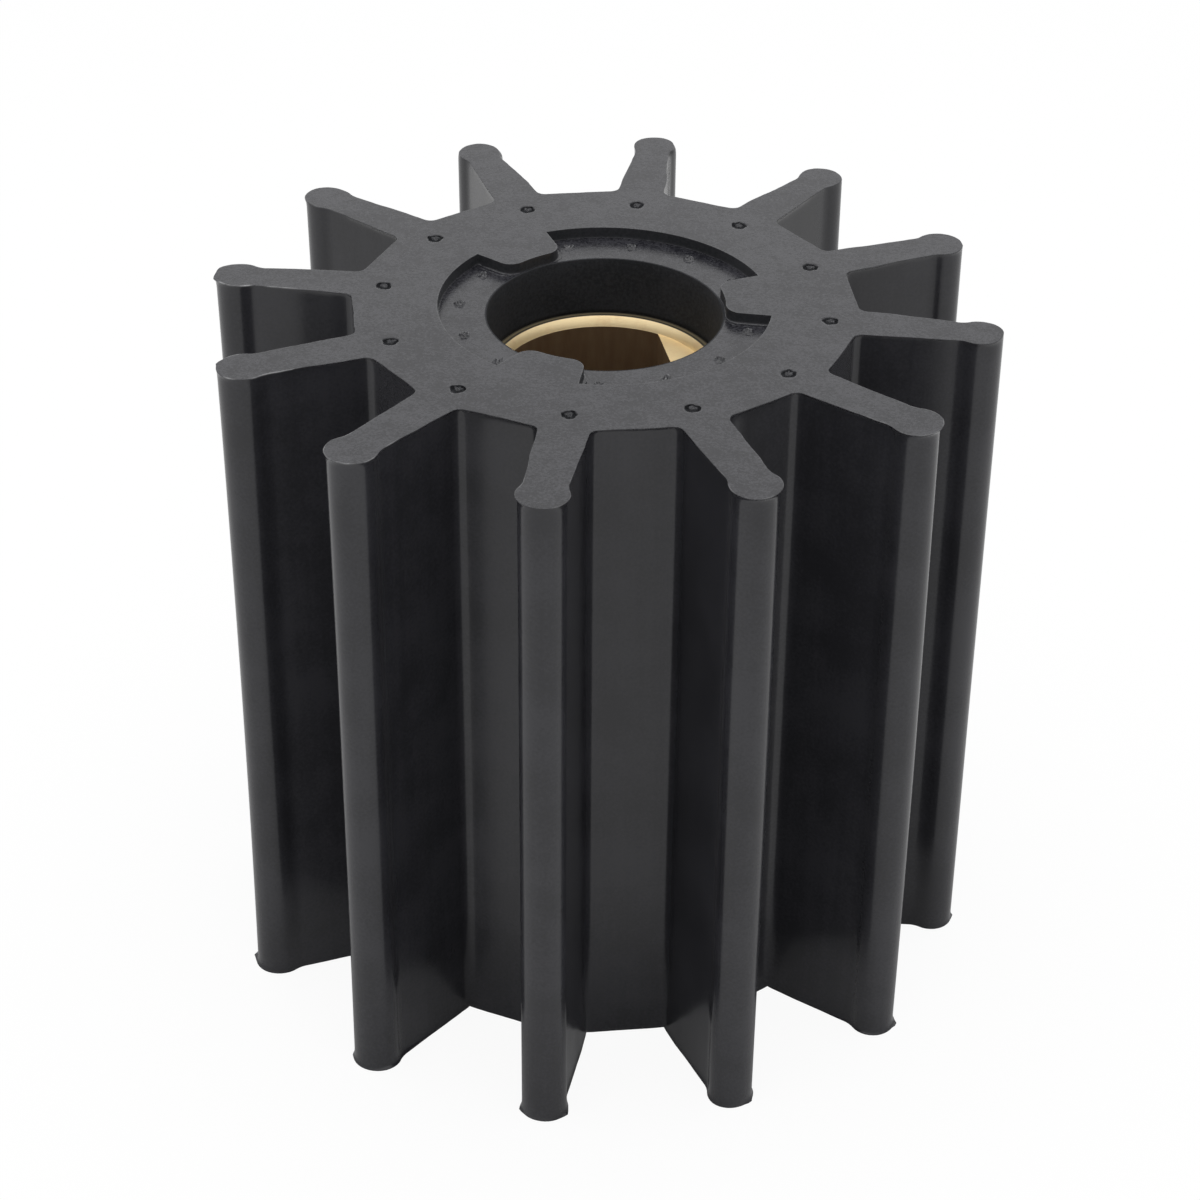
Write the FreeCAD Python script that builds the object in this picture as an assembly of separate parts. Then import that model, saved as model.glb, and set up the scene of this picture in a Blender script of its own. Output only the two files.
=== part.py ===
import FreeCAD, Part
import math
import os

from FreeCAD import Vector

# Rubber pump impeller: a moulded rubber body with straight beaded vanes round a hub, bonded
# to a brass insert whose D-shaped bore takes the pump shaft.
# Sizes are in millimetres and angles in degrees. The origin is the middle of the lower end
# face, +Z runs along the shaft, and +X runs along the middle of one vane.

# Rubber body
body_length = 88.0
tip_radius = 47.5
hub_apothem = 29.9              # from the axis to the flat of the hub between two vanes

# Vanes: thickest at the root, thinnest at the neck just inside the bead
vane_count = 12
vane_root_thickness = 5.9
vane_neck_thickness = 5.1
neck_to_tip = 6.5
bead_proud = 0.5                # how far the bead stands out past the neck on each side
bead_blend_radius = 3.0
root_fillet_radius = 1.2

# Brass insert: the shaft bore and the turned relief at each mouth
shaft_bore_radius = 12.7
shaft_flat_distance = 8.65      # from the axis to the drive flat
flat_past_lug = 4.9             # how far the flat is turned past the middle of a lug
relief_depth = 1.25
relief_flare = 0.6              # how much wider the relief is at its mouth than the bore
insert_setback = 8.8            # from each end face of the rubber to the insert
face_ring = 0.8                 # ring of the insert's face that the rubber leaves bare
rubber_shoulder = 2.4           # how far the rubber laps over the insert's ends

# Grooves down the outside of the insert, which key it in the rubber
key_count = 8
key_groove_radius = 1.5

# Shallow recess in the upper end face, divided by lugs
recess_depth = 1.4
recess_width = 5.8              # from the bore to the outer wall
lug_count = 3
lug_setback = 0.3               # from the bore to the tips of the lugs
lug_span = 30.0
lug_corner_radius = 2.0

# Gate marks in the upper end face, one at the root of each vane
gate_inset = 3.1                # inwards from the flats of the hub
gate_pit_radius = 0.85
gate_pit_depth = 0.5
gate_stub_radius = 0.4
gate_stub_height = 0.35
gate_stub_offset = 0.3

# Small nibs on the floor of the recess, where air left the mould
nibs_per_pocket = 4
nib_pitch = 25.7
nib_inset = 2.4                 # inwards from the outer wall of the recess
nib_radius = 0.55
nib_height = 0.3

# Derived sizes
vane_pitch = 360.0 / vane_count
lug_pitch = 360.0 / lug_count
first_lug_angle = vane_pitch / 2
bead_radius = vane_neck_thickness / 2 + bead_proud
end_bore_radius = shaft_bore_radius + relief_flare + face_ring
insert_radius = end_bore_radius + rubber_shoulder
insert_length = body_length - 2 * insert_setback
recess_radius = end_bore_radius + recess_width
lug_tip_radius = end_bore_radius + lug_setback
recess_floor = body_length - recess_depth
overrun = 1.0                   # how far a cutting body runs past the face that it opens


def polar(radius, angle, z=0.0):
    turn = math.radians(angle)
    return Vector(radius * math.cos(turn), radius * math.sin(turn), z)


def line(start, end):
    return Part.LineSegment(start, end).toShape()


def arc(start, middle, end):
    return Part.Arc(start, middle, end).toShape()


def prism(edges, bottom, height):
    """A solid that stands on a closed outline in the XY plane."""
    face = Part.Face(Part.Wire(edges))
    solid = face.extrude(Vector(0, 0, height))
    solid.translate(Vector(0, 0, bottom))
    return solid


def turned(shape, angle):
    """A copy turned about the shaft axis."""
    copy = shape.copy()
    copy.rotate(Vector(0, 0, 0), Vector(0, 0, 1), angle)
    return copy


def ring_of(shape, count, first_angle=0.0):
    """Copies spaced evenly about the shaft axis."""
    return [turned(shape, first_angle + index * 360.0 / count) for index in range(count)]


def rounded_corner(corner, ray_a, ray_b, radius):
    """Start, middle and end of the arc that rounds the corner between two unit rays."""
    half = ray_a.getAngle(ray_b) / 2
    reach = radius / math.tan(half)
    bisector = (ray_a + ray_b).normalize()
    middle = corner + bisector * (radius / math.sin(half) - radius)
    return corner + ray_a * reach, middle, corner + ray_b * reach


def bead_blend(flank_start, flank_ray):
    """Concave arc from the flank of a vane to the round bead at its tip."""
    bead_centre = Vector(tip_radius - bead_radius, 0, 0)
    outwards = Vector(-flank_ray.y, flank_ray.x, 0)
    reach = bead_radius + bead_blend_radius
    offset = flank_start + outwards * bead_blend_radius - bead_centre
    along = offset.dot(flank_ray)
    step = -along - math.sqrt(along ** 2 - offset.dot(offset) + reach ** 2)
    on_flank = flank_start + flank_ray * step
    centre = on_flank + outwards * bead_blend_radius
    on_bead = bead_centre + (centre - bead_centre) * (bead_radius / reach)
    towards = (on_flank - centre + on_bead - centre).normalize()
    return on_flank, centre + towards * bead_blend_radius, on_bead


def vane_half():
    """Points of one side of a vane that lies along +X, from the facet out to the bead."""
    flank_start = Vector(hub_apothem, vane_root_thickness / 2, 0)
    neck = Vector(tip_radius - neck_to_tip, vane_neck_thickness / 2, 0)
    flank_ray = (neck - flank_start).normalize()
    facet_normal = polar(1.0, vane_pitch / 2)
    facet_ray = polar(1.0, vane_pitch / 2 + 90)
    step = (hub_apothem - flank_start.dot(facet_normal)) / flank_ray.dot(facet_normal)
    corner = flank_start + flank_ray * step
    on_flank, fillet_middle, on_facet = rounded_corner(corner, flank_ray, facet_ray,
                                                       root_fillet_radius)
    blend_start, blend_middle, on_bead = bead_blend(flank_start, flank_ray)
    return [on_facet, fillet_middle, on_flank, blend_start, blend_middle, on_bead]


def body_outline():
    """Outline of the hub and all its vanes, anticlockwise from the first vane."""
    left = vane_half()
    right = [Vector(point.x, -point.y, 0) for point in left]
    tip = Vector(tip_radius, 0, 0)
    next_facet_end = turned(Part.Vertex(right[0]), vane_pitch).Point
    vane = [
        arc(right[0], right[1], right[2]),
        line(right[2], right[3]),
        arc(right[3], right[4], right[5]),
        arc(right[5], tip, left[5]),
        arc(left[5], left[4], left[3]),
        line(left[3], left[2]),
        arc(left[2], left[1], left[0]),
        line(left[0], next_facet_end),
    ]
    return [edge for copy in ring_of(Part.Compound(vane), vane_count) for edge in copy.Edges]


def recess_pocket():
    """Cutter for the pocket of the recess that starts at the side of a lug centred on +X."""
    side = lug_span / 2
    far_side = lug_pitch - side
    corner_reach = lug_tip_radius + lug_corner_radius
    on_side = math.sqrt(corner_reach ** 2 - lug_corner_radius ** 2)
    turn_in = math.degrees(math.asin(lug_corner_radius / corner_reach))
    centre = polar(corner_reach, side - turn_in)
    towards = (polar(on_side, side) + polar(lug_tip_radius, side - turn_in) - centre * 2)
    bulge = centre + towards.normalize() * lug_corner_radius
    bulge_radius = bulge.Length
    bulge_turn = side - math.degrees(math.atan2(bulge.y, bulge.x))
    inner_radius = lug_tip_radius / 2

    def corner(angle, outwards):
        return (polar(on_side, angle),
                polar(bulge_radius, angle - outwards * bulge_turn),
                polar(lug_tip_radius, angle - outwards * turn_in),
                polar(inner_radius, angle - outwards * turn_in))

    near_side, near_bulge, near_tip, near_inner = corner(side, 1)
    end_side, end_bulge, end_tip, end_inner = corner(far_side, -1)
    edges = [
        line(polar(recess_radius, side), near_side),
        arc(near_side, near_bulge, near_tip),
        line(near_tip, near_inner),
        line(near_inner, end_inner),
        line(end_inner, end_tip),
        arc(end_tip, end_bulge, end_side),
        line(end_side, polar(recess_radius, far_side)),
        arc(polar(recess_radius, far_side), polar(recess_radius, lug_pitch / 2),
            polar(recess_radius, side)),
    ]
    return prism(edges, recess_floor, recess_depth + overrun)


def pocket_nibs():
    """Nibs in the pocket that starts at a lug centred on +X, rooted in the floor."""
    first = lug_pitch / 2 - nib_pitch * (nibs_per_pocket - 1) / 2
    nib = Part.makeCylinder(nib_radius, nib_height + overrun,
                            Vector(recess_radius - nib_inset, 0, recess_floor - overrun))
    return Part.Compound([turned(nib, first + index * nib_pitch)
                          for index in range(nibs_per_pocket)])


def gate_mark():
    """Cutter for the round pit at the root of the vane on +X, less its torn stub."""
    place = Vector(hub_apothem - gate_inset, 0, body_length - gate_pit_depth)
    pit = Part.makeCylinder(gate_pit_radius, gate_pit_depth + overrun, place)
    stub = Part.makeCylinder(gate_stub_radius, gate_stub_height,
                             place + Vector(gate_stub_offset, 0, 0))
    return pit.cut(stub)


def insert_envelope():
    """Outside of the brass insert, with its bore still solid."""
    bush = Part.makeCylinder(insert_radius, insert_length, Vector(0, 0, insert_setback))
    groove = Part.makeCylinder(key_groove_radius, insert_length,
                               Vector(insert_radius, 0, insert_setback))
    return bush.cut(ring_of(groove, key_count))


def shaft_bore():
    """D-shaped cutter with its flat square to +X."""
    half_chord = math.sqrt(shaft_bore_radius ** 2 - shaft_flat_distance ** 2)
    upper = Vector(shaft_flat_distance, half_chord, 0)
    lower = Vector(shaft_flat_distance, -half_chord, 0)
    edges = [arc(upper, Vector(-shaft_bore_radius, 0, 0), lower), line(lower, upper)]
    return prism(edges, insert_setback - overrun, insert_length + 2 * overrun)


def mouth_reliefs():
    """Cutters for the flared relief at both mouths of the shaft bore."""
    mouth_radius = shaft_bore_radius + relief_flare
    lower = Part.makeCone(mouth_radius, shaft_bore_radius, relief_depth,
                          Vector(0, 0, insert_setback))
    upper = Part.makeCone(shaft_bore_radius, mouth_radius, relief_depth,
                          Vector(0, 0, body_length - insert_setback - relief_depth))
    return [lower, upper]


def brass_insert():
    bore = turned(shaft_bore(), first_lug_angle + flat_past_lug)
    return insert_envelope().cut([bore] + mouth_reliefs())


def rubber_body():
    body = prism(body_outline(), 0.0, body_length)
    end_bore = Part.makeCylinder(end_bore_radius, body_length + 2 * overrun,
                                 Vector(0, 0, -overrun))
    lug_clearance = Part.makeCylinder(lug_tip_radius, recess_depth + overrun,
                                      Vector(0, 0, recess_floor))
    body = body.cut([end_bore, lug_clearance, insert_envelope()])
    body = body.cut(ring_of(recess_pocket(), lug_count, first_lug_angle))
    body = body.cut(ring_of(gate_mark(), vane_count))
    body = body.fuse(ring_of(pocket_nibs(), lug_count, first_lug_angle))
    return body.removeSplitter()


os.makedirs("parts", exist_ok=True)
for name, shape in {"rubber_body": rubber_body(), "brass_insert": brass_insert()}.items():
    solid = shape.Solids[0]
    print(name, "solids", len(shape.Solids), "valid", solid.isValid(),
          "volume", round(solid.Volume), "cubic millimetres")
    solid.exportStep("parts/" + name + ".step")
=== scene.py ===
import math

import bpy
import numpy as np
from mathutils import Matrix, Vector, noise
from mathutils.geometry import delaunay_2d_cdt


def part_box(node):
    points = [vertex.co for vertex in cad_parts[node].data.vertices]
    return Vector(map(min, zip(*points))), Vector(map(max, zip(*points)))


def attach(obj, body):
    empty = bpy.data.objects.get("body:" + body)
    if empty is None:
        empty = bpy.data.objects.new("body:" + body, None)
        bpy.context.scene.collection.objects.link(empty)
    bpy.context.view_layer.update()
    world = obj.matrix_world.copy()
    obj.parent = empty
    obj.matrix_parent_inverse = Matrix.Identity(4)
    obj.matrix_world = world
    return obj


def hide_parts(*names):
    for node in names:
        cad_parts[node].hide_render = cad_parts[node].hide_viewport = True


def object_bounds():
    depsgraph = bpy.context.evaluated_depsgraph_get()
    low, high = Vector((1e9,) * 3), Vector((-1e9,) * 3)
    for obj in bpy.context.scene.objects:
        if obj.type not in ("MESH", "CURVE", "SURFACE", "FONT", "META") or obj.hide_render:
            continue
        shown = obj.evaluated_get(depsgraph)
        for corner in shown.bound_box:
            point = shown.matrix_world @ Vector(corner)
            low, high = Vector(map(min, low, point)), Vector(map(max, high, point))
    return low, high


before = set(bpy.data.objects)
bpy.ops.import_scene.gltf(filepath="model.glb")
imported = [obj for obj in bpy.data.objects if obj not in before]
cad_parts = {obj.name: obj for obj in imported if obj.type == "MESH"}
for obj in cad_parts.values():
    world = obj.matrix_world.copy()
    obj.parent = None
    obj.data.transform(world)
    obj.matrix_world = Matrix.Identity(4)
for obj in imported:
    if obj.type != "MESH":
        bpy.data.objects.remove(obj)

cad_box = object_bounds()


# Rubber body
# The real piece is one moulding of black nitrile rubber, pressed round the brass insert in a
# split mould. A thin uneven flash lip stands round both end faces, where the mould closed, so
# the walls lie a little inside the outline that the end faces show.

mm = 0.001
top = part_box("rubber_body")[1][2]
seat_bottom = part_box("brass_insert")[0][2]
seat_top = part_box("brass_insert")[1][2]

tip_radius = 47.5 * mm
vane_count = 12
vane_pitch = 2 * math.pi / vane_count
hub_apothem = 29.9 * mm
root_thickness = 5.9 * mm
neck_thickness = 5.1 * mm
neck_radius = tip_radius - 6.5 * mm
bead_radius = 3.05 * mm
bead_blend = 3.0 * mm
root_fillet = 1.2 * mm
outline_step = 0.6 * mm


def unit(angle):
    return np.array([math.cos(angle), math.sin(angle)])


def turned(points, angle):
    c, s = math.cos(angle), math.sin(angle)
    return points @ np.array([[c, s], [-s, c]])


def arc_run(centre, start, end, clockwise, step):
    """Points of an arc, its end left out, and their directions away from its centre."""
    first = math.atan2(*(start - centre)[::-1])
    last = math.atan2(*(end - centre)[::-1])
    sweep = (last - first) % (2 * math.pi)
    if clockwise:
        sweep -= 2 * math.pi
    radius = np.linalg.norm(start - centre)
    count = max(2, math.ceil(abs(sweep) * radius / step))
    rays = np.array([unit(first + sweep * k / count) for k in range(count)])
    return centre + radius * rays, rays


def line_run(start, end, outwards, step):
    """Points of a line, its end left out, each with the same direction out of the rubber."""
    count = max(1, math.ceil(np.linalg.norm(end - start) / step))
    points = np.array([start + (end - start) * k / count for k in range(count)])
    return points, np.tile(outwards, (count, 1))


def vane_outline():
    """A twelfth of the outline, anticlockwise round a vane along +X, from the middle of one flat
    of the hub to just before the middle of the next, and the directions out of the rubber."""
    start = np.array([hub_apothem, root_thickness / 2])
    ray = np.array([neck_radius, neck_thickness / 2]) - start
    ray /= np.linalg.norm(ray)
    out = np.array([-ray[1], ray[0]])
    flat_out = unit(vane_pitch / 2)
    flat_ray = unit(vane_pitch / 2 + math.pi / 2)

    corner = start + ray * ((hub_apothem - start @ flat_out) / (ray @ flat_out))
    half = math.acos(ray @ flat_ray) / 2
    reach = root_fillet / math.tan(half)
    bisector = (ray + flat_ray) / np.linalg.norm(ray + flat_ray)
    fillet_centre = corner + bisector * root_fillet / math.sin(half)
    fillet_start = corner + ray * reach
    fillet_end = corner + flat_ray * reach

    bead_centre = np.array([tip_radius - bead_radius, 0.0])
    between = bead_radius + bead_blend
    offset = start + out * bead_blend - bead_centre
    along = offset @ ray
    blend_end = start + ray * (-along - math.sqrt(along ** 2 - offset @ offset + between ** 2))
    blend_centre = blend_end + out * bead_blend
    blend_start = bead_centre + (blend_centre - bead_centre) * bead_radius / between

    crown = np.array([tip_radius, 0.0])
    flat_middle = flat_out * hub_apothem
    fine = outline_step / 2
    bead = arc_run(bead_centre, crown, blend_start, False, outline_step)
    blend = arc_run(blend_centre, blend_start, blend_end, True, fine)
    flank = line_run(blend_end, fillet_start, out, outline_step)
    fillet = arc_run(fillet_centre, fillet_start, fillet_end, True, fine)
    flat = line_run(fillet_end, flat_middle, flat_out, outline_step)
    points = np.vstack([bead[0], blend[0], flank[0], fillet[0], flat[0], flat_middle])
    normals = np.vstack([bead[1], -blend[1], flank[1], -fillet[1], flat[1], flat_out])
    mirror = np.array([1.0, -1.0])
    return (np.vstack([(points * mirror)[:0:-1], points[:-1]]),
            np.vstack([(normals * mirror)[:0:-1], normals[:-1]]))


def repeated(part, count):
    return np.vstack([turned(part, k * 2 * math.pi / count) for k in range(count)])


class Shell:
    """The points and faces of a mesh, ring by ring. The tone of a point runs from -1, where its
    surface is darkest, to 1, where it is palest; pale tones are painted highlights, and dark tones
    are painted shade, and also mark torn rubber on the gate stubs and nibs."""

    # How far the points strewn over a flat face stray from a grid, and how far they keep from its
    # edges, as shares of their spacing
    stray = 0.3
    clearance = 0.45

    def __init__(self):
        self.points = []
        self.faces = []
        self.tones = []

    def ring(self, plan, heights, tone=0.0):
        first = len(self.points)
        heights = np.broadcast_to(heights, len(plan))
        self.points += [(x, y, z) for (x, y), z in zip(plan, heights)]
        self.tones += list(np.broadcast_to(tone, len(plan)))
        return list(range(first, first + len(plan)))

    def skin(self, right, left):
        """Faces between two rings, with the right one on the right of the way that they run when
        seen from outside."""
        for k in range(len(right)):
            after = (k + 1) % len(right)
            self.faces.append([right[k], right[after], left[after], left[k]])

    def cap(self, ring, centre, height, tone):
        """Faces from an anticlockwise ring, seen from above, to a point inside it."""
        middle = self.ring([centre], height, tone)[0]
        for k, corner in enumerate(ring):
            self.faces.append([corner, ring[(k + 1) % len(ring)], middle])

    def fill(self, rings, height, upwards, spacing, seed):
        """A flat face inside the first ring and outside the others, with points strewn over it.
        The spacing is in millimetres."""
        edges = [(ring[k], ring[(k + 1) % len(ring)]) for ring in rings for k in range(len(ring))]
        plan = np.array([self.points[i][:2] for ring in rings for i in ring]) / mm
        index = [i for ring in rings for i in ring]
        place = {i: k for k, i in enumerate(index)}
        ends = np.array([[self.points[a][:2], self.points[b][:2]] for a, b in edges]) / mm

        def inside(spots):
            x, y = spots[:, :1], spots[:, 1:]
            x0, y0, x1, y1 = ends[:, 0, 0], ends[:, 0, 1], ends[:, 1, 0], ends[:, 1, 1]
            spans = (y0 > y) != (y1 > y)
            rise = np.where(y1 == y0, 1.0, y1 - y0)
            crosses = spans & (x < x0 + (y - y0) * (x1 - x0) / rise)
            return crosses.sum(axis=1) % 2 == 1

        low, high = plan.min(axis=0), plan.max(axis=0)
        rng = np.random.default_rng(seed)
        grid = np.stack(np.meshgrid(np.arange(low[0], high[0], spacing),
                                    np.arange(low[1], high[1], spacing)), -1).reshape(-1, 2)
        grid += rng.uniform(-self.stray, self.stray, grid.shape) * spacing
        grid = grid[inside(grid)]
        near = np.array([np.min(np.sum((plan - spot) ** 2, axis=1)) for spot in grid])
        grid = grid[near > (self.clearance * spacing) ** 2]
        strewn = self.ring(grid * mm, height)
        index += strewn
        spots = [Vector(p) for p in np.vstack([plan, grid])]
        walls = [(place[a], place[b]) for a, b in edges]
        made, _, triangles, origin, _, _ = delaunay_2d_cdt(spots, walls, [], 1, 1e-6)
        corners = np.array([[made[c][:] for c in triangle] for triangle in triangles])
        keep = inside(corners.mean(axis=1))
        for triangle, kept in zip(triangles, keep):
            if kept:
                face = [index[origin[c][0]] for c in triangle]
                self.faces.append(face if upwards else face[::-1])

    def mesh(self, name):
        data = bpy.data.meshes.new(name)
        data.from_pydata(self.points, [], self.faces)
        data.attributes.new("tone", "FLOAT", "POINT").data.foreach_set("value", self.tones)
        data.validate()
        piece = bpy.data.objects.new(name, data)
        bpy.context.scene.collection.objects.link(piece)
        return piece


# The outer walls, with the flash lip: how far from the end face each ring lies, how much of the lip
# it has, how far it is drawn back where the edge is rounded, and how much of the painted highlight
# on the upper lip's edge it has. For both pieces, a length written without mm is in millimetres.
lip_profile = [
    (0.0, 1.0, 0.28, 0), (0.0, 1.0, 0.14, 0.3), (0.0, 1.0, 0.05, 1), (0.008, 1.0, 0.02, 1),
    (0.03, 1.0, 0.004, 1), (0.06, 0.99, 0.0, 1), (0.13, 0.9, 0.0, 0.6), (0.22, 0.7, 0.0, 0),
    (0.34, 0.45, 0.0, 0), (0.55, 0.2, 0.0, 0), (0.85, 0.07, 0.0, 0), (1.4, 0.0, 0.0, 0),
]
lip_height = lip_profile[-1][0] * mm
wall_rings = 34

# How far the walls lie inside the outline of the end faces at mid-height, and how much nearer they
# come to it at both ends of the bowed vanes, counted from the vane on +X, and at the foot of the hub
wall_inset = 0.3 * mm
bowed_vanes = {4: 0.15, 5: 0.3, 6: 0.3, 7: 0.3, 8: 0.1, 10: -0.1, 11: -0.15}
foot_draft = 0.32 * mm
foot_height = 12 * mm

# Slow waves of the walls: their size across and along the wall, their depth, and the layer of noise
# that they start from
wall_waves = [(14, 40, 0.06, 40.0), (3.2, 110, 0.03, 60.0)]

# How far the lip stands past its place along the hub on the clockwise side, at the tip and on the
# anticlockwise side of each vane, from the vane on +X round, at the upper and the lower end
upper_lips = [
    (0.0, -0.30, -0.50), (0.0, -0.45, -0.30), (-0.30, -0.50, -0.35), (-0.60, -0.55, -0.30),
    (-0.60, -0.30, -0.20), (-0.35, 0.25, 0.0), (-0.45, 0.20, 0.05), (-0.10, 0.10, 0.10),
    (0.0, 0.0, 0.0), (0.0, -0.20, 0.0), (0.0, 0.05, 0.0), (0.10, 0.0, 0.0),
]
lower_lips = [
    (0.0, 0.0, 0.0), (0.05, 0.0, 0.05), (0.05, 0.1, 0.0), (0.0, 0.05, 0.05),
    (0.1, 0.0, 0.0), (0.05, 0.1, 0.1), (0.05, 0.05, 0.05), (0.4, 0.4, 0.3),
    (0.15, 0.15, 0.35), (0.1, -0.20, 0.1), (0.0, -0.25, 0.1), (0.0, -0.05, 0.1),
]
upper_unevenness = 0.16
lower_unevenness = 0.05
slow_scale = 4.0 * mm
ragged_scale = 0.9 * mm
ragged_share = 0.3

# How strong the painted highlight along the upper lip's edge is round the end of each vane
lip_highlight_ends = [0.1, 0.1, 0.1, 0.1, 0.1, 0.3, 1.0, 0.6, 0.5, 0.35, 0.35, 0.35]
lip_highlight_scale = 1.7 * mm
lip_highlight_layer = 26.8

# Beaks of the lip: the vane, the way from the middle of its bead as an angle from the tip, how far
# the beak stands out and how wide it is
upper_beaks = [(6, 25, 0.35, 1.2), (7, -35, 0.2, 1.0)]
lower_beaks = [(7, -32, 0.4, 1.1), (8, -52, 0.1, 0.8), (9, -72, 0.25, 1.2), (9, 72, 0.3, 1.2),
               (10, 38, 0.3, 1.0), (11, 27, 0.4, 1.0), (0, 10, 0.3, 1.0), (3, 20, 0.4, 1.0)]

vane_points, vane_normals = vane_outline()
outline = repeated(vane_points, vane_count)
outline_out = repeated(vane_normals, vane_count)

# How far each point belongs to the end of its vane, which begins between these two radii
hub_side = 34 * mm
bead_side = 42 * mm
from_centre = np.linalg.norm(vane_points, axis=1)
vane_end = np.clip((from_centre - hub_side) / (bead_side - hub_side), 0, 1)


def field(points, scale, layer):
    """Smooth noise from -1 to 1 over points of the plan, different in each layer."""
    return np.array([noise.noise(Vector((x / scale, y / scale, layer))) for x, y in points])


def corner_gap():
    """How far, in millimetres, each point in the rounded corners at the root of the vane lies from
    the nearer of the two walls that meet there, had they run on into a sharp corner."""
    facing = np.stack([vane_normals[:, 0], np.abs(vane_normals[:, 1])], -1)
    flank_out = facing[np.argmin(np.abs(vane_end - 0.5))]
    flat_out = unit(vane_pitch / 2)
    nearer = np.maximum(facing @ flank_out, facing @ flat_out)
    return np.where(vane_end == 0, root_fillet / mm * (1 / nearer - 1), 0)


def lip(along_hub, vanes, beaks, unevenness, layer):
    """How far the lip stands past each point of the outline."""
    sides = np.stack([-vane_normals[:, 1], vane_normals[:, 0], vane_normals[:, 1]], -1)
    shares = vane_end[:, None] * np.clip(sides, 0, 1) ** 2
    along_hub = np.broadcast_to(along_hub, len(vane_points))
    reach = np.concatenate([along_hub + shares @ np.array(row) for row in vanes])
    reach += unevenness * field(outline, slow_scale, layer)
    reach += ragged_share * unevenness * field(outline, ragged_scale, layer + 7.3)
    for vane, turn, height, width in beaks:
        around = vane * vane_pitch + math.radians(turn)
        spot = (tip_radius - bead_radius) * unit(vane * vane_pitch) + bead_radius * unit(around)
        away = np.linalg.norm(outline - spot, axis=1) / mm / width
        reach += height * np.clip(1 - away, 0, 1) ** 1.5
    return reach * mm


def lip_highlight():
    """How much painted highlight the upper lip's edge has at each point of the outline."""
    highlight_share = np.concatenate([vane_end * amount for amount in lip_highlight_ends])
    return highlight_share * np.clip(0.6 + 1.6 * field(outline, lip_highlight_scale, lip_highlight_layer), 0, 1)


def wave(height):
    """A slight unevenness of the walls, drawn out along the way that they left the mould."""
    return sum(depth * mm * field(outline, across * mm, height / (along * mm) + layer)
               for across, along, depth, layer in wall_waves)


def inset(height):
    """How far the walls lie inside the outline of the end faces at a height."""
    bows = [vane_end * bowed_vanes.get(vane, 0.0) * mm for vane in range(vane_count)]
    foot = np.tile(1 - vane_end, vane_count) * foot_draft
    nearer = np.concatenate(bows) * (2 * height / top - 1) ** 2
    nearer += foot * max(0.0, 1 - height / foot_height) ** 2
    return wall_inset - nearer


body = Shell()


def wall_ring(height, lip_reach, share=0.0, back=0.0, tone=0.0):
    """A ring of the outline, kept within the square round the tips."""
    into = inset(height)
    out = share * (into + lip_reach) - into - back * mm + wave(height) * (1 - share)
    spots = np.clip(outline + outline_out * out[:, None], cad_box[0][0], cad_box[1][0])
    return body.ring(spots, height, tone)


# The lower lip stands out along the hub, where its corners are nearly sharp, and is drawn in at the
# ends of the vanes
lower_along_hub = 0.1 - 0.3 * vane_end - 1.1 * corner_gap()
lower_lip = lip(lower_along_hub, lower_lips, lower_beaks, lower_unevenness, layer=3.1)
upper_lip = lip(0.0, upper_lips, upper_beaks, upper_unevenness, layer=11.7)
rings = [wall_ring(depth * mm, lower_lip, share, back) for depth, share, back, _ in lip_profile]
for k in range(1, wall_rings):
    height = lip_height + (top - 2 * lip_height) * k / wall_rings
    rings.append(wall_ring(height, upper_lip))
# The upper lip's rounded edge gets its painted highlight from the last column
for depth, share, back, highlight_share in reversed(lip_profile):
    rings.append(wall_ring(top - depth * mm, upper_lip, share, back, highlight_share * lip_highlight()))
for lower, upper in zip(rings, rings[1:]):
    body.skin(lower, upper)
lower_outline, upper_outline = rings[0], rings[-1]

# The recess in the upper end face, with three lugs whose tips stand a little back from the bore
bore_radius = 14.1 * mm
lug_tip_radius = 14.4 * mm
recess_radius = 19.9 * mm
recess_floor = top - 1.4 * mm
lug_count = 3
lug_angle = vane_pitch / 2
lug_half = math.radians(15)
lug_corner = 2.0 * mm
recess_step = 1.2 * mm
ledge_share = 0.4               # of the ledge before a lug's tip, taken by the foot of the tip


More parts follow.
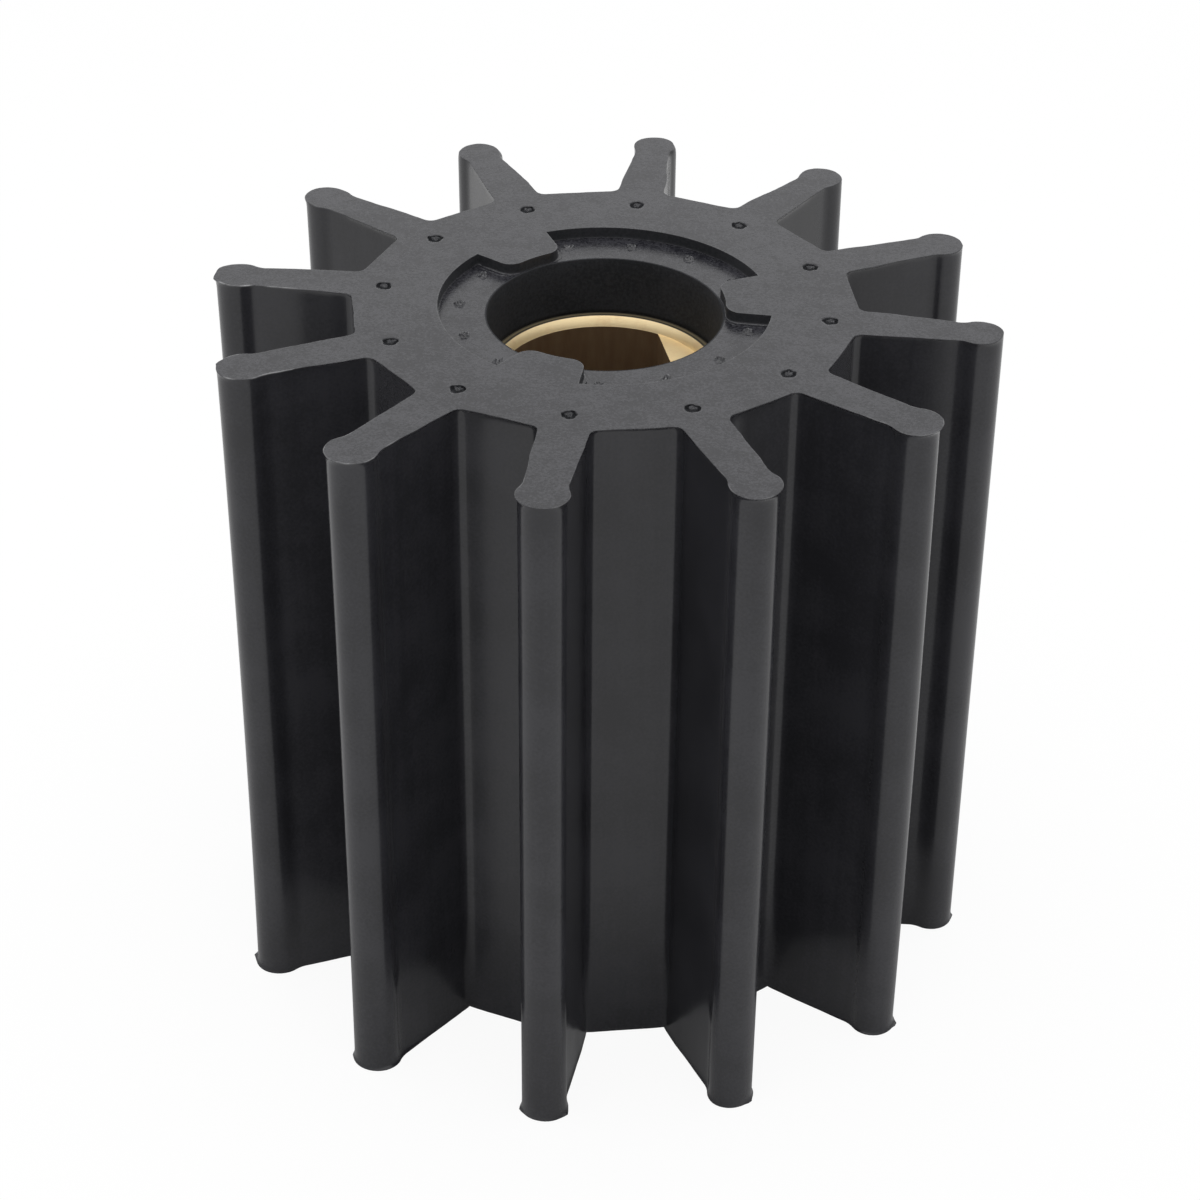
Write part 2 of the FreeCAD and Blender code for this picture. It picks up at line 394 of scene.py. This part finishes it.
def recess_edge():
    """A third of the recess's edge from the middle of a lug on +X: points, directions into the
    recess, and how far each point belongs to the side of a lug."""
    corner_reach = lug_tip_radius + lug_corner
    corner_turn = math.asin(lug_corner / corner_reach)
    side_start = math.sqrt(corner_reach ** 2 - lug_corner ** 2)
    far = 2 * math.pi / lug_count - lug_half
    tip_end, far_tip = lug_half - corner_turn, far + corner_turn
    axis = np.zeros(2)
    fine = 0.25 * mm
    tip = arc_run(axis, unit(0) * lug_tip_radius, unit(tip_end) * lug_tip_radius, False, fine)
    corner = arc_run(unit(tip_end) * corner_reach, unit(tip_end) * lug_tip_radius,
                     unit(lug_half) * side_start, True, fine)
    side = line_run(unit(lug_half) * side_start, unit(lug_half) * recess_radius,
                    unit(lug_half + math.pi / 2), recess_step)
    wall = arc_run(axis, unit(lug_half) * recess_radius, unit(far) * recess_radius, False,
                   recess_step)
    far_side = line_run(unit(far) * recess_radius, unit(far) * side_start,
                        unit(far - math.pi / 2), recess_step)
    far_corner = arc_run(unit(far_tip) * corner_reach, unit(far) * side_start,
                         unit(far_tip) * lug_tip_radius, True, fine)
    next_tip = arc_run(axis, unit(far_tip) * lug_tip_radius,
                       unit(2 * math.pi / lug_count) * lug_tip_radius, False, fine)
    wall[1][0] -= unit(lug_half + math.pi / 2)
    far_side[1][0] -= unit(far)
    runs = [tip, corner, side, wall, far_side, far_corner, next_tip]
    signs = [-1, 1, 1, -1, 1, 1, -1]
    shares = [(0, 0), (0, 1), (1, 1), (0, 0), (1, 1), (1, 0), (0, 0)]
    return (np.vstack([points for points, _ in runs]),
            np.vstack([sign * rays for sign, (_, rays) in zip(signs, runs)]),
            np.concatenate([np.linspace(*ends, len(points))
                            for ends, (points, _) in zip(shares, runs)]))


edge_points, edge_inwards, edge_side = recess_edge()
edge_points = turned(repeated(edge_points, lug_count), lug_angle)
edge_inwards = turned(repeated(edge_inwards, lug_count), lug_angle)
edge_side = np.tile(edge_side, lug_count)
ledge = np.linalg.norm(edge_points, axis=1) - bore_radius


def edge_ring(side_into, side_rise, wall_into, wall_rise, tone):
    """A ring of the recess's edge, above its floor, from its place at the side of a lug and along
    the outer wall."""
    into = wall_into + (side_into - wall_into) * edge_side
    rise = wall_rise + (side_rise - wall_rise) * edge_side
    reach = np.minimum(into * mm, ledge_share * ledge)
    return body.ring(edge_points + edge_inwards * reach[:, None], recess_floor + rise * mm, tone)


# The rim, rounded: how far into the recess and above its floor each ring lies, and its tone, pale on
# the rim as a painted highlight and dark down the wall as painted shade. Then the foot, with a thin
# ridge along the sides of the lugs: the same two lengths at the side of a lug, the same along the
# outer wall, and the tone, dark at the foot of the wall as painted shade.
rim_profile = [
    (-0.26, 1.4, 0), (-0.14, 1.4, 0.1), (-0.05, 1.4, 0.18), (-0.015, 1.392, 0.18), (-0.003, 1.37, 0),
    (0.0, 1.33, -0.6), (0.0, 0.8, -0.8),
]
foot_profile = [
    (0.0, 0.30, 0.0, 0.30, -0.8), (0.04, 0.13, 0.0, 0.012, -0.5),
    (0.13, 0.04, 0.004, 0.004, 0), (0.30, 0.0, 0.012, 0.0, 0), (0.44, 0.0, 0.2, 0.0, 0),
    (0.52, 0.06, 0.35, 0.0, 0), (0.58, 0.06, 0.5, 0.0, 0), (0.70, 0.0, 0.65, 0.0, 0),
    (0.85, 0.0, 0.8, 0.0, 0),
]
recess_rings = [edge_ring(into, rise, into, rise, tone) for into, rise, tone in rim_profile]
upper_recess = recess_rings[0]
recess_rings += [edge_ring(*row) for row in foot_profile]
for upper, lower in zip(recess_rings, recess_rings[1:]):
    body.skin(upper, lower)
recess_foot = recess_rings[-1]

# The bore, down to the insert, and the bore below it. The rounded edge at either end is given by how
# deep each ring lies and how much wider than the bore it is.
bore_stations = 240
bore_angles = np.arange(bore_stations) * 2 * math.pi / bore_stations
bore_rays = np.stack([np.cos(bore_angles), np.sin(bore_angles)], -1)
bore_edge = [(0.0, 0.14), (0.0, 0.09), (0.008, 0.045), (0.03, 0.012), (0.07, 0.0)]
bore_surround = 0.3             # how wide the flat ring round the lower mouth is
bore_shares = (0.25, 0.5, 0.75, 0.93, 1.0)      # of the way down to the insert, for its rings


def bore_ring(height, wider=0.0):
    return body.ring(bore_rays * (bore_radius + wider * mm), height)


bore_rings = [bore_ring(recess_floor - depth * mm, wider) for depth, wider in bore_edge]
floor_edge = bore_rings[0]
for share in bore_shares:
    bore_rings.append(bore_ring(recess_floor + (seat_top - recess_floor) * share))

# The seat, which the insert fills, with a rib in each of its key grooves
seat_radius = 16.5 * mm
key_count = 8
key_radius = 1.5 * mm


def keyed_reach(angles):
    """How far the keyed outside of the insert lies from the axis at each angle."""
    turn = (angles + math.pi / key_count) % (2 * math.pi / key_count) - math.pi / key_count
    across = seat_radius * np.sin(turn)
    bite = np.sqrt(np.maximum(key_radius ** 2 - across ** 2, 0.0))
    return np.where(bite > 0, seat_radius * np.cos(turn) - bite, seat_radius)


seat_plan = bore_rays * keyed_reach(bore_angles)[:, None]
bore_rings.append(body.ring(seat_plan, seat_top))
bore_rings.append(body.ring(seat_plan, seat_bottom))
for height in (seat_bottom, 0.5 * seat_bottom, 0.6 * mm):
    bore_rings.append(bore_ring(height))
bore_rings += [bore_ring(depth * mm, wider) for depth, wider in reversed(bore_edge)]
bore_rings.append(bore_ring(0.0, bore_surround))
for upper, lower in zip(bore_rings, bore_rings[1:]):
    body.skin(upper, lower)
lower_bore = bore_rings[-1]

# The gate marks: a round pit at the root of each vane, with the torn stub of its gate in it. A
# profile gives the radius and height of each ring, how ragged it is and its tone, dark as matt torn
# rubber on the stub and as painted shade down in the pit. The pits all lie a little to one side of
# their places, and the stubs lean to the other.
gate_circle = hub_apothem - 3.1 * mm
gate_profile = [
    (1.20, 0.0, 0, 0), (1.04, 0.0, 0, 0), (0.91, -0.04, 0.4, -0.5), (0.85, -0.22, 0.4, -1),
    (0.80, -0.44, 0.4, -1), (0.70, -0.5, 0.4, -1), (0.54, -0.40, 0.8, -1), (0.48, -0.16, 1, -0.8),
    (0.40, -0.05, 1, -0.4), (0.27, -0.08, 1, -0.6), (0.14, -0.03, 1, -0.4),
]
gate_points = 28
gate_raggedness = 0.16
gate_shift = 0.28 * mm * unit(math.radians(-82))
stub_lean = 0.28 * mm * unit(math.radians(98))
lean_spread = 0.12 * mm

ring_jitter = 0.06              # of the reach of each point of a ragged ring
rise_jitter = 0.1
rise_share = 0.35               # how ragged a ring is in height, to its raggedness across
tone_jitter = 0.3
middle_drop = 0.05              # of the middle of a mark below its last ring


def lump(centre, height, profile, points, lean, raggedness, seed):
    """A small mark, as rings from its edge to its middle. Returns the outermost one."""
    rng = np.random.default_rng(seed)
    angles = np.arange(points) * 2 * math.pi / points
    rays = np.stack([np.cos(angles), np.sin(angles)], -1)

    def uneven():
        waves = [rng.uniform(-1, 1) * np.cos(n * angles + rng.uniform(0, 2 * math.pi))
                 for n in (1, 2, 3, 5, 7)]
        return raggedness * sum(waves)

    outwards, upwards = uneven(), uneven()
    rings = []
    for radius, rise, ragged, tone in profile:
        reach = radius * (1 + ragged * (outwards + rng.uniform(-ring_jitter, ring_jitter, points)))
        level = upwards + rng.uniform(-rise_jitter, rise_jitter, points)
        level = rise + ragged * rise_share * level
        spots = centre + lean * ragged + rays * reach[:, None] * mm
        tones = tone + ragged * rng.uniform(-tone_jitter, tone_jitter, points)
        rings.append(body.ring(spots, np.minimum(height + level * mm, top), tones))
    for outer, inner in zip(rings, rings[1:]):
        body.skin(outer, inner)
    last_rise, last_ragged, last_tone = profile[-1][1:]
    middle_height = height + (last_rise - middle_drop) * mm
    body.cap(rings[-1], centre + lean * last_ragged, middle_height, last_tone)
    return rings[0]


rng = np.random.default_rng(4)
gate_rings = []
for k in range(vane_count):
    lean = stub_lean + rng.uniform(-lean_spread, lean_spread, 2)
    gate_rings.append(lump(unit(k * vane_pitch) * gate_circle + gate_shift, top, gate_profile,
                           gate_points, lean, gate_raggedness, seed=20 + k))

# The nibs on the floor of the recess, where air left the mould: low torn rings, with painted
# highlights on their raised tops and painted shade in the dip between them
nib_circle = recess_radius - 2.4 * mm
nib_pitch = math.radians(25.7)
nibs_per_pocket = 4
nib_points = 18
nib_raggedness = 0.28
nib_profile = [
    (0.90, 0.0, 0, 0), (0.78, 0.0, 0, 0), (0.66, 0.0, 0.3, -0.3), (0.57, 0.18, 1, -0.2),
    (0.46, 0.26, 1, 0.3), (0.34, 0.03, 1, -0.8), (0.20, 0.05, 1, -0.3), (0.08, 0.16, 1, 0.3),
]

nib_rings = []
for pocket in range(lug_count):
    middle = lug_angle + (pocket + 0.5) * 2 * math.pi / lug_count
    for k in range(nibs_per_pocket):
        angle = middle + (k - (nibs_per_pocket - 1) / 2) * nib_pitch
        nib_rings.append(lump(unit(angle) * nib_circle, recess_floor, nib_profile, nib_points,
                              np.zeros(2), nib_raggedness, seed=60 + 10 * pocket + k))

body.fill([recess_foot, floor_edge] + nib_rings, recess_floor, True, spacing=1.0, seed=90)
body.fill([upper_outline, upper_recess] + gate_rings, top, True, spacing=1.5, seed=5)
body.fill([lower_outline, lower_bore], 0.0, False, spacing=1.5, seed=6)
rubber = body.mesh("impeller_rubber")


class Finish:
    """The shader of a material or world, built node by node."""

    def __init__(self, owner):
        owner.use_nodes = True
        self.owner = owner
        self.tree = owner.node_tree
        self.tree.nodes.clear()

    def node(self, kind, output=0, settings=None, **sockets):
        """One output of a new node. Sockets go by their labels in lower case, or in0, in1 and on."""
        made = self.tree.nodes.new(kind)
        for name, value in (settings or {}).items():
            setattr(made, name, value)
        for name, value in sockets.items():
            if name[2:].isdigit():
                socket = made.inputs[int(name[2:])]
            else:
                label = name.replace("_", " ")
                socket = next(i for i in made.inputs if i.name.lower() == label and i.enabled)
            if isinstance(value, Shade):
                self.tree.links.new(value.socket, socket)
            else:
                socket.default_value = value
        return Shade(self, made.outputs[output]) if made.outputs else self.owner

    def blend(self, factor, first, second):
        """A colour between two colours."""
        first, second = (c if isinstance(c, Shade) else (*c, 1.0) for c in (first, second))
        return self.node("ShaderNodeMix", 2, {"data_type": "RGBA"}, in0=factor, in6=first, in7=second)

    def vector(self, operation, first, second):
        return self.node("ShaderNodeVectorMath", 0, {"operation": operation}, in0=first, in1=second)

    def grain(self, place, scale, detail=2.0, roughness=0.5):
        """Noise from 0 to 1, with so many lumps to the millimetre."""
        return self.node("ShaderNodeTexNoise", vector=place, scale=scale, detail=detail,
                         roughness=roughness)

    def step(self, value, low, high):
        """0 below low, 1 above high, and smooth between them."""
        return self.node("ShaderNodeMapRange", 0, {"interpolation_type": "SMOOTHSTEP"}, value=value,
                         in1=low, in2=high)

    def place(self):
        """Where a point lies, in millimetres."""
        return self.vector("MULTIPLY", self.node("ShaderNodeTexCoord", "Object"), (1 / mm,) * 3)

    def from_axis(self, place):
        """How far a place is from the shaft axis."""
        across = self.vector("MULTIPLY", place, (1.0, 1.0, 0.0))
        return self.node("ShaderNodeVectorMath", "Value", {"operation": "LENGTH"}, in0=across)

    def tone(self, sign):
        """The pale tones from 0 to 1, or with a sign of -1 the dark ones."""
        return self.step(self.node("ShaderNodeAttribute", "Fac", {"attribute_name": "tone"}) * sign,
                         0.0, 1.0)


class Shade:
    """A socket in a finish. Arithmetic on it adds the Math nodes that it needs."""

    def __init__(self, finish, socket):
        self.finish = finish
        self.socket = socket

    def math(self, operation, first, second=0.0):
        return self.finish.node("ShaderNodeMath", 0, {"operation": operation}, in0=first, in1=second)

    def __add__(self, other):
        return self.math("ADD", self, other)

    def __radd__(self, other):
        return self.math("ADD", other, self)

    def __sub__(self, other):
        return self.math("SUBTRACT", self, other)

    def __rsub__(self, other):
        return self.math("SUBTRACT", other, self)

    def __mul__(self, other):
        return self.math("MULTIPLY", self, other)

    def __rmul__(self, other):
        return self.math("MULTIPLY", other, self)

    def __abs__(self):
        return self.math("ABSOLUTE", self)


rubber_black = (0.027, 0.027, 0.031)
rubber_worn = (0.041, 0.041, 0.047)
face_black = (0.012, 0.012, 0.016)
face_worn = (0.044, 0.044, 0.051)
# Dark matt rubber: torn rubber, and painted shade in the recess and the gate pits
torn_and_shade_black = (0.012, 0.013, 0.015)
torn_and_shade_grey = (0.031, 0.032, 0.036)
# The grey of the painted highlights on the lip's edge, the recess's rim and the nib tops
painted_highlight_grey = (0.45, 0.45, 0.46)
bore_limit = 14.25              # the radius within which the rubber is matt, in millimetres


def moulded_rubber():
    """Black rubber: satin on the walls, where it lay against polished steel, finely grained and
    stained on faces that look up or down, and matt where it is torn and in the bore. Dark matt tones
    also paint shade on the recess's walls and foot and in the gate pits, and pale grey tones paint
    highlights on edges and nib tops."""
    finish = Finish(bpy.data.materials.new("moulded_rubber"))
    place = finish.place()
    normal = finish.node("ShaderNodeNewGeometry", "Normal")
    level = finish.node("ShaderNodeSeparateXYZ", "Z", vector=normal)
    flat = finish.step(abs(level), 0.55, 0.95)
    bore = 1 - finish.step(finish.from_axis(place), bore_limit, bore_limit + 0.1)
    fine = finish.grain(place, 2.6, 3.0, 0.7)
    mottle = finish.grain(place, 0.5, 3.0, 0.6)
    cloud = finish.grain(place, 0.12, 2.0)
    draw = finish.grain(finish.vector("MULTIPLY", place, (1.0, 1.0, 0.03)), 0.5, 3.0, 0.6)

    walls = finish.blend(finish.step(cloud * 0.45 + draw * 0.2 + fine * 0.35, 0.38, 0.62),
                         rubber_black, rubber_worn)
    blotch = finish.step(mottle * 0.25 + fine * 0.55 + cloud * 0.2, 0.42, 0.58)
    base = finish.blend(flat, walls, finish.blend(blotch, face_black, face_worn))
    # Pale tones paint highlights in pale grey: on the upper lip's edge, the recess's rim and the nib
    # tops
    base = finish.blend(finish.tone(1) * finish.step(mottle, 0.2, 0.6), base, painted_highlight_grey)
    rough = 0.09 + 0.10 * cloud + 0.10 * fine + 0.05 * draw + 0.03 * flat
    relief = fine * (0.3 + 0.7 * flat) + mottle * (0.3 + 0.7 * flat) + draw * (0.2 - 0.2 * flat)
    bump = finish.node("ShaderNodeBump", strength=0.25, distance=0.06 * mm, height=relief)
    satin = finish.node("ShaderNodeBsdfPrincipled", base_color=base, roughness=rough, normal=bump)
    # Matt and dark where torn, in the bore, and as painted shade on the recess's walls and in the
    # pits
    torn_and_shade = finish.blend(finish.step(fine * 0.6 + cloud * 0.4, 0.35, 0.65), torn_and_shade_black, torn_and_shade_grey)
    matt = finish.node("ShaderNodeBsdfPrincipled", base_color=torn_and_shade, roughness=0.8,
                       specular_ior_level=0.3, normal=bump)
    dull = finish.tone(-1) + bore - finish.tone(-1) * bore
    shader = finish.node("ShaderNodeMixShader", in0=dull, in1=satin, in2=matt)
    return finish.node("ShaderNodeOutputMaterial", surface=shader)


rubber.data.shade_smooth()
rubber.data.materials.append(moulded_rubber())
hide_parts("rubber_body")
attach(rubber, "root")


# Brass insert
# The real piece is a bush turned from brass bar, grooved outside to key it in the rubber, with a
# bore broached to a D for the shaft and a flared relief turned at each mouth. It is put into the
# mould and bonded there, so that only its bore and a thin ring of each end show.

shaft_bore = 12.7 * mm
shaft_flat = 8.65 * mm
flat_angle = math.radians(19.9)
relief_mouth = 13.3 * mm
relief_depth = 1.25 * mm
bush_stations = 720
corner_softness = 0.04 * mm

bush = Shell()
bush_angles = np.arange(bush_stations) * 2 * math.pi / bush_stations
bush_rays = np.stack([np.cos(bush_angles), np.sin(bush_angles)], -1)
bush_outside = keyed_reach(bush_angles)

# From the edge of the relief's mouth to its foot: radii, and depths below the end
end_profile = [
    (relief_mouth + 0.09 * mm, 0.0), (relief_mouth + 0.03 * mm, 0.008 * mm),
    (relief_mouth, 0.03 * mm), (shaft_bore + 0.04 * mm, relief_depth - 0.07 * mm),
    (shaft_bore + 0.025 * mm, relief_depth - 0.02 * mm), (shaft_bore + 0.012 * mm, relief_depth),
]
# The edge of the bore: how much wider than the bore each ring is, how far below the relief's foot it
# lies, and its tone, which paints shade down the bore. Where the bore is round, little is left of
# that width.
bore_profile = [(0.05, 0.0, 0.0), (0.018, 0.006, 0.0), (0.005, 0.02, -0.7), (0.0, 0.05, -1.0)]
round_share = 0.12


def bore_reach():
    """The D's reach in each direction, with its two corners a little rounded."""
    facing = np.maximum(np.cos(bush_angles - flat_angle), 0.05)
    flat = shaft_flat / facing
    nearer, further = np.minimum(flat, shaft_bore), np.maximum(flat, shaft_bore)
    return nearer - corner_softness * np.exp(-(further - nearer) / corner_softness)


def bush_ring(reach, height, tone=0.0):
    reach = np.broadcast_to(reach, bush_stations)
    return bush.ring(bush_rays * reach[:, None], height, tone)


def bush_end(face, inwards):
    """Rings from the outside of one end to the wall of the bore."""
    made = [bush_ring(bush_outside, face)]
    made += [bush_ring(radius, face + inwards * depth) for radius, depth in end_profile]
    for wider, depth, tone in bore_profile:
        reach = np.minimum(bore_reach() + wider * mm, shaft_bore + round_share * wider * mm)
        height = face + inwards * (relief_depth + depth * mm)
        made.append(bush_ring(reach, height, tone))
    return made


upper_end = bush_end(seat_top, -1)
lower_end = bush_end(seat_bottom, 1)
bush_rings = upper_end + lower_end[::-1]
for outer, inner in zip(bush_rings, bush_rings[1:] + bush_rings[:1]):
    bush.skin(outer, inner)
brass = bush.mesh("brass_bush")

brass_bright = (1.0, 0.80, 0.47)
# The dark brown of the painted shade down the bore
brass_dull = (0.90, 0.66, 0.36)
painted_shade_brown = (0.165, 0.096, 0.052)
rubber_film = (0.045, 0.038, 0.026)
thin_film = (0.19, 0.155, 0.09)

# Radii in millimetres: where the film of rubber on the end begins, and where it is thin
film_start = 13.27
thin_start = 13.5
thin_end = 13.85


def turned_brass():
    """Brass with fine turning lines round the shaft, dulled in patches on the relief, with painted
    shade in dark brown down the bore, and with a film of rubber on the ring of its end."""
    finish = Finish(bpy.data.materials.new("turned_brass"))
    place = finish.place()
    radius = finish.from_axis(place)
    height = finish.node("ShaderNodeSeparateXYZ", "Z", vector=place)
    level = finish.node("ShaderNodeSeparateXYZ", "Z",
                        vector=finish.node("ShaderNodeNewGeometry", "Normal"))
    flat = finish.step(abs(level), 0.6, 0.9)
    lines = finish.node("ShaderNodeCombineXYZ", in0=radius * 9.0, in1=height * 4.0)
    turning = finish.node("ShaderNodeTexNoise", vector=lines, scale=1.0, detail=2.0)
    patches = finish.grain(place, 0.5, 4.0, 0.6)
    streaks = finish.grain(finish.vector("MULTIPLY", place, (1.0, 1.0, 0.2)), 0.8, 3.0, 0.6)
    # Dark tones paint shade down the bore: brown, rougher and less metallic
    bore_shade = finish.tone(-1)
    base = finish.blend(finish.step(patches, 0.45, 0.85), brass_bright, brass_dull)
    base = finish.blend(bore_shade * (0.86 + 0.14 * streaks), base, painted_shade_brown)
    film = finish.step(radius, film_start, film_start + 0.04)
    thin = finish.step(radius, thin_start, thin_start + 0.1)
    thin = thin * (1 - finish.step(radius, thin_end, thin_end + 0.1))
    base = finish.blend(film, base, finish.blend(thin, rubber_film, thin_film))
    rough = 0.33 + 0.10 * patches + 0.05 * turning + 0.15 * flat + 0.15 * bore_shade
    metal = 0.62 - 0.12 * bore_shade - 0.52 * film
    bump = finish.node("ShaderNodeBump", strength=0.15, distance=0.01 * mm, height=turning)
    shader = finish.node("ShaderNodeBsdfPrincipled", base_color=base, metallic=metal,
                         roughness=rough, normal=bump)
    return finish.node("ShaderNodeOutputMaterial", surface=shader)


brass.data.shade_smooth()
brass.data.set_sharp_from_angle(angle=math.radians(40))
brass.data.materials.append(turned_brass())
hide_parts("brass_insert")
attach(brass, "root")


# Stage
# A white floor and background, and one large soft lamp overhead. The floor shows white to the camera
# and keeps a trace of the shadow.

floor_reach = 3.0
floor_gap = 0.02 * mm
glow_share = 0.9
bpy.ops.mesh.primitive_plane_add(size=2 * floor_reach, location=(0, 0, -floor_gap))
floor = bpy.context.object
floor.name = "floor"


def white_floor():
    """White paint, most of it replaced by white light where the camera sees it."""
    finish = Finish(bpy.data.materials.new("white_floor"))
    camera_ray = finish.node("ShaderNodeLightPath", "Is Camera Ray")
    paint = finish.node("ShaderNodeBsdfDiffuse", color=(0.92, 0.92, 0.92, 1))
    glow = finish.node("ShaderNodeEmission", color=(1, 1, 1, 1), strength=1.03)
    mixed = finish.node("ShaderNodeMixShader", in0=camera_ray * glow_share, in1=paint, in2=glow)
    return finish.node("ShaderNodeOutputMaterial", surface=mixed)


floor.data.materials.append(white_floor())

sky_level = 0.45
sky = Finish(bpy.data.worlds.new("studio"))
seen = 0.0
for ray in ("Is Camera Ray", "Is Glossy Ray", "Is Transmission Ray"):
    seen = sky.node("ShaderNodeMath", 0, {"operation": "MAXIMUM"}, in0=seen,
                    in1=sky.node("ShaderNodeLightPath", ray))
light = sky.node("ShaderNodeBackground", color=(1, 1, 1, 1),
                 strength=sky_level + (1 - sky_level) * seen)
bpy.context.scene.world = sky.node("ShaderNodeOutputWorld", surface=light)

lamp_data = bpy.data.lights.new("lamp_above", "AREA")
lamp_data.size = 0.8
lamp_data.energy = 2.7
lamp = bpy.data.objects.new("lamp_above", lamp_data)
lamp.location = (0.0, 0.0, 0.7)
lamp.rotation_euler = (lamp.location - Vector((0, 0, 0.05))).to_track_quat("Z", "Y").to_euler()
bpy.context.scene.collection.objects.link(lamp)

# The camera, at the photograph's angle: it looks along the bearing and elevation at a point near the
# shaft axis
camera_aim = Vector((-0.24 * mm, -0.04 * mm, 45.59 * mm))
camera_distance = 383.07 * mm
camera_bearing = math.radians(-81.64)
camera_elevation = math.radians(33.44)
camera_roll = math.radians(0.547)
camera_lens = 90.76

camera_data = bpy.data.cameras.new("camera")
camera_data.lens = camera_lens
camera_data.sensor_width = 36.0
camera = bpy.data.objects.new("camera", camera_data)
back = Vector((math.cos(camera_elevation) * math.cos(camera_bearing),
               math.cos(camera_elevation) * math.sin(camera_bearing), math.sin(camera_elevation)))
camera.location = camera_aim + back * camera_distance
roll = Matrix.Rotation(camera_roll, 4, "Z").to_quaternion()
camera.rotation_euler = (back.to_track_quat("Z", "Y") @ roll).to_euler()
bpy.context.scene.collection.objects.link(camera)
bpy.context.scene.camera = camera
bpy.context.scene.view_settings.view_transform = "Standard"
